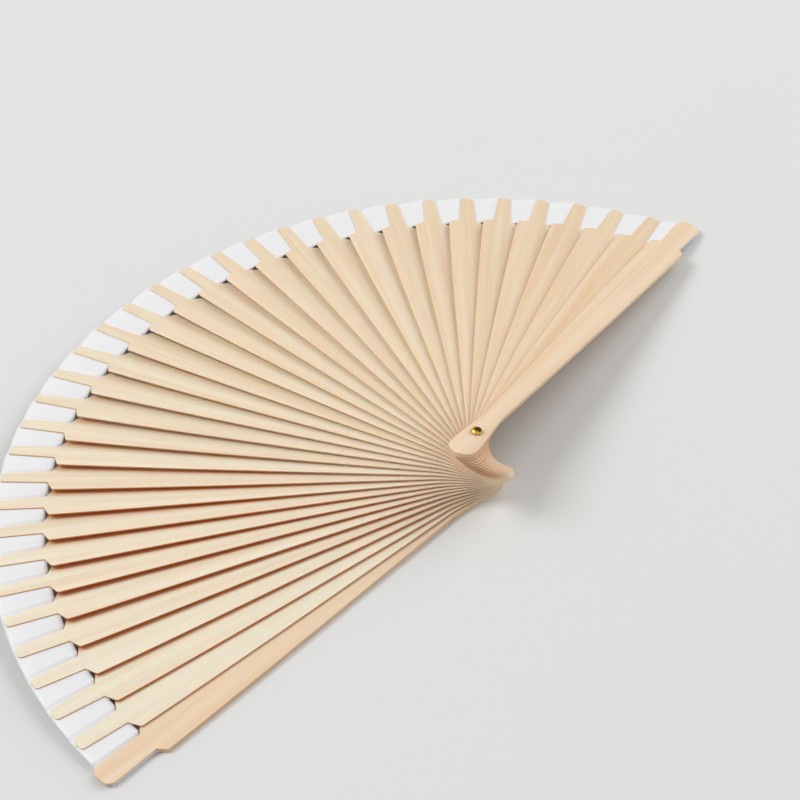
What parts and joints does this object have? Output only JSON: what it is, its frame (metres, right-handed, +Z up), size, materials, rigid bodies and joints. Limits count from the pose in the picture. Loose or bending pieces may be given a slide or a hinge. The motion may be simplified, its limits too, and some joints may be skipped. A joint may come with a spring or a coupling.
{
  "type": "wooden folding fan",
  "caption": "Open folding hand fan of thin overlapping wooden sticks on one rivet, with thicker wooden guards and a ribbon behind the tips.",
  "frame": {"origin": "where the rivet's axis meets the table, at the middle of the rivet's flat foot", "axes": "+Z up, +X towards the top guard's tip, +Y from the rivet out along the middle of the open fan"},
  "size_m": [0.4217, 0.2259, 0.039],
  "materials": {
    "stick_wood": "satin",
    "guard_wood": "satin",
    "ribbon_cloth": "satin",
    "brass": "polished"
  },
  "bodies": {
    "bottom_guard": {"bottom_guard": "guard_wood", "rivet_pin": "brass", "rivet_washer": "brass", "ribbon": "ribbon_cloth"},
    "stick_32": {"stick_32": "stick_wood"},
    "stick_31": {"stick_31": "stick_wood"},
    "stick_30": {"stick_30": "stick_wood"},
    "stick_29": {"stick_29": "stick_wood"},
    "stick_28": {"stick_28": "stick_wood"},
    "stick_27": {"stick_27": "stick_wood"},
    "stick_26": {"stick_26": "stick_wood"},
    "stick_25": {"stick_25": "stick_wood"},
    "stick_24": {"stick_24": "stick_wood"},
    "stick_23": {"stick_23": "stick_wood"},
    "stick_22": {"stick_22": "stick_wood"},
    "stick_21": {"stick_21": "stick_wood"},
    "stick_20": {"stick_20": "stick_wood"},
    "stick_19": {"stick_19": "stick_wood"},
    "stick_18": {"stick_18": "stick_wood"},
    "stick_17": {"stick_17": "stick_wood"},
    "stick_16": {"stick_16": "stick_wood"},
    "stick_15": {"stick_15": "stick_wood"},
    "stick_14": {"stick_14": "stick_wood"},
    "stick_13": {"stick_13": "stick_wood"},
    "stick_12": {"stick_12": "stick_wood"},
    "stick_11": {"stick_11": "stick_wood"},
    "stick_10": {"stick_10": "stick_wood"},
    "stick_09": {"stick_09": "stick_wood"},
    "stick_08": {"stick_08": "stick_wood"},
    "stick_07": {"stick_07": "stick_wood"},
    "stick_06": {"stick_06": "stick_wood"},
    "stick_05": {"stick_05": "stick_wood"},
    "stick_04": {"stick_04": "stick_wood"},
    "stick_03": {"stick_03": "stick_wood"},
    "stick_02": {"stick_02": "stick_wood"},
    "stick_01": {"stick_01": "stick_wood"},
    "top_guard": {"top_guard": "guard_wood"}
  },
  "joints": [
    {"name": "stick_32_turn", "type": "hinge", "parent": "bottom_guard", "child": "stick_32", "pos_m": [0, 0, 0], "axis": [0.0752, -0.0084, 0.9971], "range_deg": [0, 5.1], "deforming": ["ribbon"]},
    {"name": "stick_31_turn", "type": "hinge", "parent": "stick_32", "child": "stick_31", "pos_m": [0, 0, 0], "axis": [0.0752, -0.0084, 0.9971], "range_deg": [0, 5.04]},
    {"name": "stick_30_turn", "type": "hinge", "parent": "stick_31", "child": "stick_30", "pos_m": [0, 0, 0], "axis": [0.0752, -0.0084, 0.9971], "range_deg": [0, 4.99]},
    {"name": "stick_29_turn", "type": "hinge", "parent": "stick_30", "child": "stick_29", "pos_m": [0, 0, 0], "axis": [0.0752, -0.0084, 0.9971], "range_deg": [0, 4.93]},
    {"name": "stick_28_turn", "type": "hinge", "parent": "stick_29", "child": "stick_28", "pos_m": [0, 0, 0], "axis": [0.0752, -0.0084, 0.9971], "range_deg": [0, 4.88]},
    {"name": "stick_27_turn", "type": "hinge", "parent": "stick_28", "child": "stick_27", "pos_m": [0, 0, 0], "axis": [0.0752, -0.0084, 0.9971], "range_deg": [0, 4.82]},
    {"name": "stick_26_turn", "type": "hinge", "parent": "stick_27", "child": "stick_26", "pos_m": [0, 0, 0], "axis": [0.0752, -0.0084, 0.9971], "range_deg": [0, 4.76]},
    {"name": "stick_25_turn", "type": "hinge", "parent": "stick_26", "child": "stick_25", "pos_m": [0, 0, 0], "axis": [0.0752, -0.0084, 0.9971], "range_deg": [0, 4.71]},
    {"name": "stick_24_turn", "type": "hinge", "parent": "stick_25", "child": "stick_24", "pos_m": [0, 0, 0], "axis": [0.0752, -0.0084, 0.9971], "range_deg": [0, 4.65]},
    {"name": "stick_23_turn", "type": "hinge", "parent": "stick_24", "child": "stick_23", "pos_m": [0, 0, 0], "axis": [0.0752, -0.0084, 0.9971], "range_deg": [0, 4.72]},
    {"name": "stick_22_turn", "type": "hinge", "parent": "stick_23", "child": "stick_22", "pos_m": [0, 0, 0], "axis": [0.0752, -0.0084, 0.9971], "range_deg": [0, 4.79]},
    {"name": "stick_21_turn", "type": "hinge", "parent": "stick_22", "child": "stick_21", "pos_m": [0, 0, 0], "axis": [0.0752, -0.0084, 0.9971], "range_deg": [0, 4.86]},
    {"name": "stick_20_turn", "type": "hinge", "parent": "stick_21", "child": "stick_20", "pos_m": [0, 0, 0], "axis": [0.0752, -0.0084, 0.9971], "range_deg": [0, 4.92]},
    {"name": "stick_19_turn", "type": "hinge", "parent": "stick_20", "child": "stick_19", "pos_m": [0, 0, 0], "axis": [0.0752, -0.0084, 0.9971], "range_deg": [0, 4.99]},
    {"name": "stick_18_turn", "type": "hinge", "parent": "stick_19", "child": "stick_18", "pos_m": [0, 0, 0], "axis": [0.0752, -0.0084, 0.9971], "range_deg": [0, 5.06]},
    {"name": "stick_17_turn", "type": "hinge", "parent": "stick_18", "child": "stick_17", "pos_m": [0, 0, 0], "axis": [0.0752, -0.0084, 0.9971], "range_deg": [0, 5.13]},
    {"name": "stick_16_turn", "type": "hinge", "parent": "stick_17", "child": "stick_16", "pos_m": [0, 0, 0], "axis": [0.0752, -0.0084, 0.9971], "range_deg": [0, 5.2]},
    {"name": "stick_15_turn", "type": "hinge", "parent": "stick_16", "child": "stick_15", "pos_m": [0, 0, 0], "axis": [0.0752, -0.0084, 0.9971], "range_deg": [0, 5.21]},
    {"name": "stick_14_turn", "type": "hinge", "parent": "stick_15", "child": "stick_14", "pos_m": [0, 0, 0], "axis": [0.0752, -0.0084, 0.9971], "range_deg": [0, 5.21]},
    {"name": "stick_13_turn", "type": "hinge", "parent": "stick_14", "child": "stick_13", "pos_m": [0, 0, 0], "axis": [0.0752, -0.0084, 0.9971], "range_deg": [0, 5.22]},
    {"name": "stick_12_turn", "type": "hinge", "parent": "stick_13", "child": "stick_12", "pos_m": [0, 0, 0], "axis": [0.0752, -0.0084, 0.9971], "range_deg": [0, 5.22]},
    {"name": "stick_11_turn", "type": "hinge", "parent": "stick_12", "child": "stick_11", "pos_m": [0, 0, 0], "axis": [0.0752, -0.0084, 0.9971], "range_deg": [0, 5.23]},
    {"name": "stick_10_turn", "type": "hinge", "parent": "stick_11", "child": "stick_10", "pos_m": [0, 0, 0], "axis": [0.0752, -0.0084, 0.9971], "range_deg": [0, 5.24]},
    {"name": "stick_09_turn", "type": "hinge", "parent": "stick_10", "child": "stick_09", "pos_m": [0, 0, 0], "axis": [0.0752, -0.0084, 0.9971], "range_deg": [0, 5.24]},
    {"name": "stick_08_turn", "type": "hinge", "parent": "stick_09", "child": "stick_08", "pos_m": [0, 0, 0], "axis": [0.0752, -0.0084, 0.9971], "range_deg": [0, 5.25]},
    {"name": "stick_07_turn", "type": "hinge", "parent": "stick_08", "child": "stick_07", "pos_m": [0, 0, 0], "axis": [0.0752, -0.0084, 0.9971], "range_deg": [0, 5.26]},
    {"name": "stick_06_turn", "type": "hinge", "parent": "stick_07", "child": "stick_06", "pos_m": [0, 0, 0], "axis": [0.0752, -0.0084, 0.9971], "range_deg": [0, 5.26]},
    {"name": "stick_05_turn", "type": "hinge", "parent": "stick_06", "child": "stick_05", "pos_m": [0, 0, 0], "axis": [0.0752, -0.0084, 0.9971], "range_deg": [0, 5.27]},
    {"name": "stick_04_turn", "type": "hinge", "parent": "stick_05", "child": "stick_04", "pos_m": [0, 0, 0], "axis": [0.0752, -0.0084, 0.9971], "range_deg": [0, 5.28]},
    {"name": "stick_03_turn", "type": "hinge", "parent": "stick_04", "child": "stick_03", "pos_m": [0, 0, 0], "axis": [0.0752, -0.0084, 0.9971], "range_deg": [0, 5.28]},
    {"name": "stick_02_turn", "type": "hinge", "parent": "stick_03", "child": "stick_02", "pos_m": [0, 0, 0], "axis": [0.0752, -0.0084, 0.9971], "range_deg": [0, 5.29]},
    {"name": "stick_01_turn", "type": "hinge", "parent": "stick_02", "child": "stick_01", "pos_m": [0, 0, 0], "axis": [0.0752, -0.0084, 0.9971], "range_deg": [0, 5.29]},
    {"name": "top_guard_turn", "type": "hinge", "parent": "stick_01", "child": "top_guard", "pos_m": [0, 0, 0], "axis": [0.0752, -0.0084, 0.9971], "range_deg": [0, 5]}
  ],
  "couplings": [
    {"joint": "stick_31_turn", "follows": "stick_32_turn", "ratio": 0.98897},
    {"joint": "stick_30_turn", "follows": "stick_32_turn", "ratio": 0.97794},
    {"joint": "stick_29_turn", "follows": "stick_32_turn", "ratio": 0.96691},
    {"joint": "stick_28_turn", "follows": "stick_32_turn", "ratio": 0.95588},
    {"joint": "stick_27_turn", "follows": "stick_32_turn", "ratio": 0.94485},
    {"joint": "stick_26_turn", "follows": "stick_32_turn", "ratio": 0.93382},
    {"joint": "stick_25_turn", "follows": "stick_32_turn", "ratio": 0.92279},
    {"joint": "stick_24_turn", "follows": "stick_32_turn", "ratio": 0.91176},
    {"joint": "stick_23_turn", "follows": "stick_32_turn", "ratio": 0.92524},
    {"joint": "stick_22_turn", "follows": "stick_32_turn", "ratio": 0.93873},
    {"joint": "stick_21_turn", "follows": "stick_32_turn", "ratio": 0.95221},
    {"joint": "stick_20_turn", "follows": "stick_32_turn", "ratio": 0.96569},
    {"joint": "stick_19_turn", "follows": "stick_32_turn", "ratio": 0.97917},
    {"joint": "stick_18_turn", "follows": "stick_32_turn", "ratio": 0.99265},
    {"joint": "stick_17_turn", "follows": "stick_32_turn", "ratio": 1.0061},
    {"joint": "stick_16_turn", "follows": "stick_32_turn", "ratio": 1.0196},
    {"joint": "stick_15_turn", "follows": "stick_32_turn", "ratio": 1.0208},
    {"joint": "stick_14_turn", "follows": "stick_32_turn", "ratio": 1.0221},
    {"joint": "stick_13_turn", "follows": "stick_32_turn", "ratio": 1.0233},
    {"joint": "stick_12_turn", "follows": "stick_32_turn", "ratio": 1.0245},
    {"joint": "stick_11_turn", "follows": "stick_32_turn", "ratio": 1.0257},
    {"joint": "stick_10_turn", "follows": "stick_32_turn", "ratio": 1.027},
    {"joint": "stick_09_turn", "follows": "stick_32_turn", "ratio": 1.0282},
    {"joint": "stick_08_turn", "follows": "stick_32_turn", "ratio": 1.0294},
    {"joint": "stick_07_turn", "follows": "stick_32_turn", "ratio": 1.0306},
    {"joint": "stick_06_turn", "follows": "stick_32_turn", "ratio": 1.0319},
    {"joint": "stick_05_turn", "follows": "stick_32_turn", "ratio": 1.0331},
    {"joint": "stick_04_turn", "follows": "stick_32_turn", "ratio": 1.0343},
    {"joint": "stick_03_turn", "follows": "stick_32_turn", "ratio": 1.0355},
    {"joint": "stick_02_turn", "follows": "stick_32_turn", "ratio": 1.0368},
    {"joint": "stick_01_turn", "follows": "stick_32_turn", "ratio": 1.038},
    {"joint": "top_guard_turn", "follows": "stick_32_turn", "ratio": 0.98039}
  ]
}
